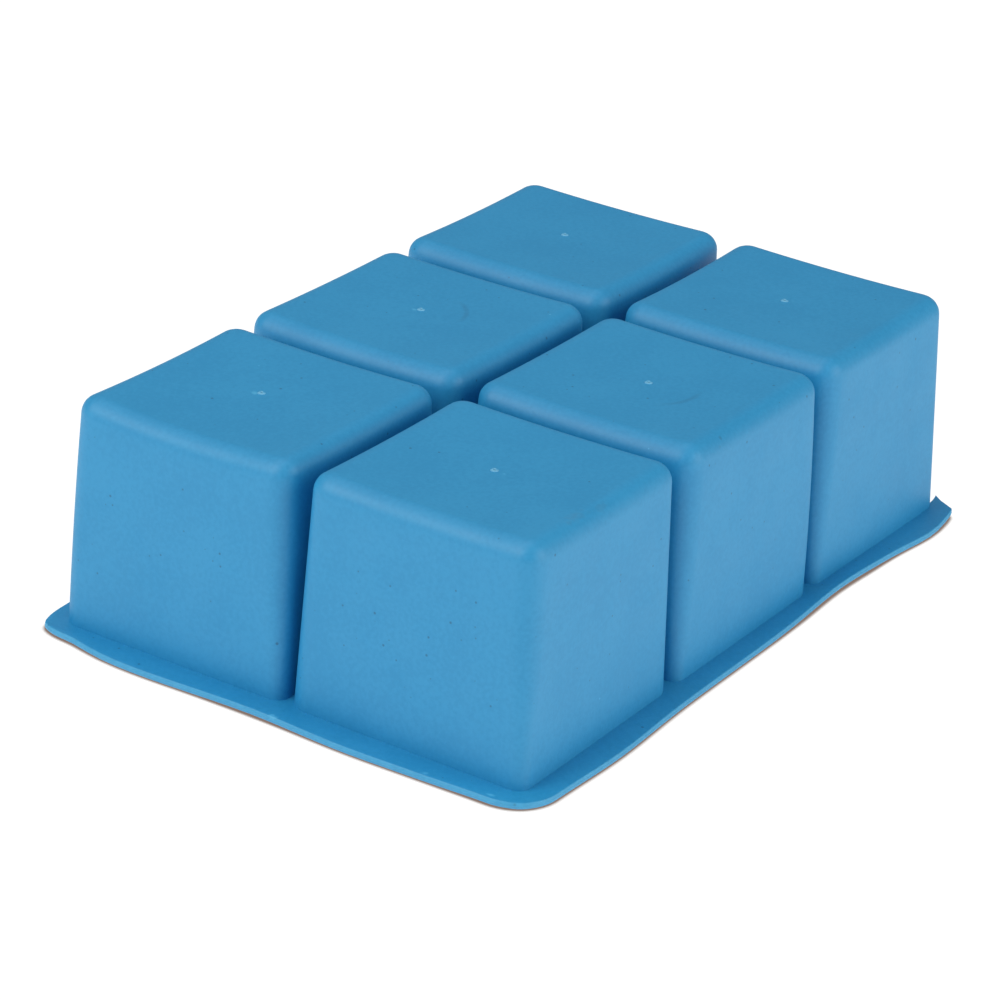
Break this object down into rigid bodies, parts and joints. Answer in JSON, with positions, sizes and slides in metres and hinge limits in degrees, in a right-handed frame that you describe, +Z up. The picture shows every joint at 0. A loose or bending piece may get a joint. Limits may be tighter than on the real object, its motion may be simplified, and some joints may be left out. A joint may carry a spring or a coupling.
{
  "type": "silicone soap mould",
  "caption": "Flexible blue silicone mould with a grid of square cups on one flat flange, for casting square soap bars; it bends between its rows and each cup floor pushes in.",
  "frame": {"origin": "under the middle of the flange, on the surface that the mould rests on with its mouths down", "axes": "+X along the three rows of cups (the long way), +Y across the two cups of a row, +Z up from the mouths to the cup floors"},
  "size_m": [0.1766, 0.1186, 0.0503],
  "materials": {
    "flange": "matte silicone",
    "web": "matte silicone",
    "cup": "matte silicone",
    "floor": "matte silicone, lightly speckled"
  },
  "bodies": {
    "middle_row": {"flange_middle": "flange", "cup_wall_middle_front": "cup", "cup_wall_middle_back": "cup"},
    "left_row": {"flange_left": "flange", "hinge_web_left": "web", "cup_wall_left_front": "cup", "cup_wall_left_back": "cup"},
    "right_row": {"flange_right": "flange", "hinge_web_right": "web", "cup_wall_right_front": "cup", "cup_wall_right_back": "cup"},
    "floor_left_front": {"push_floor_left_front": "floor"},
    "floor_left_back": {"push_floor_left_back": "floor"},
    "floor_middle_front": {"push_floor_middle_front": "floor"},
    "floor_middle_back": {"push_floor_middle_back": "floor"},
    "floor_right_front": {"push_floor_right_front": "floor"},
    "floor_right_back": {"push_floor_right_back": "floor"}
  },
  "joints": [
    {"name": "left_row_bend", "type": "hinge", "parent": "middle_row", "child": "left_row", "pos_m": [-0.02785, 0, 0.0007], "axis": [0, -1, 0], "range_deg": [-4.5, 55], "stiffness_Nm_per_rad": 0.1, "deforming": ["hinge_web_left"]},
    {"name": "right_row_bend", "type": "hinge", "parent": "middle_row", "child": "right_row", "pos_m": [0.02785, 0, 0.0007], "axis": [0, 1, 0], "range_deg": [-4.5, 55], "stiffness_Nm_per_rad": 0.1, "deforming": ["hinge_web_right"]},
    {"name": "press_left_front", "type": "slide", "parent": "left_row", "child": "floor_left_front", "axis": [0, 0, 1], "range_m": [-0.012, 0], "stiffness_N_per_m": 400},
    {"name": "press_left_back", "type": "slide", "parent": "left_row", "child": "floor_left_back", "axis": [0, 0, 1], "range_m": [-0.012, 0], "stiffness_N_per_m": 400},
    {"name": "press_middle_front", "type": "slide", "parent": "middle_row", "child": "floor_middle_front", "axis": [0, 0, 1], "range_m": [-0.012, 0], "stiffness_N_per_m": 400},
    {"name": "press_middle_back", "type": "slide", "parent": "middle_row", "child": "floor_middle_back", "axis": [0, 0, 1], "range_m": [-0.012, 0], "stiffness_N_per_m": 400},
    {"name": "press_right_front", "type": "slide", "parent": "right_row", "child": "floor_right_front", "axis": [0, 0, 1], "range_m": [-0.012, 0], "stiffness_N_per_m": 400},
    {"name": "press_right_back", "type": "slide", "parent": "right_row", "child": "floor_right_back", "axis": [0, 0, 1], "range_m": [-0.012, 0], "stiffness_N_per_m": 400}
  ]
}
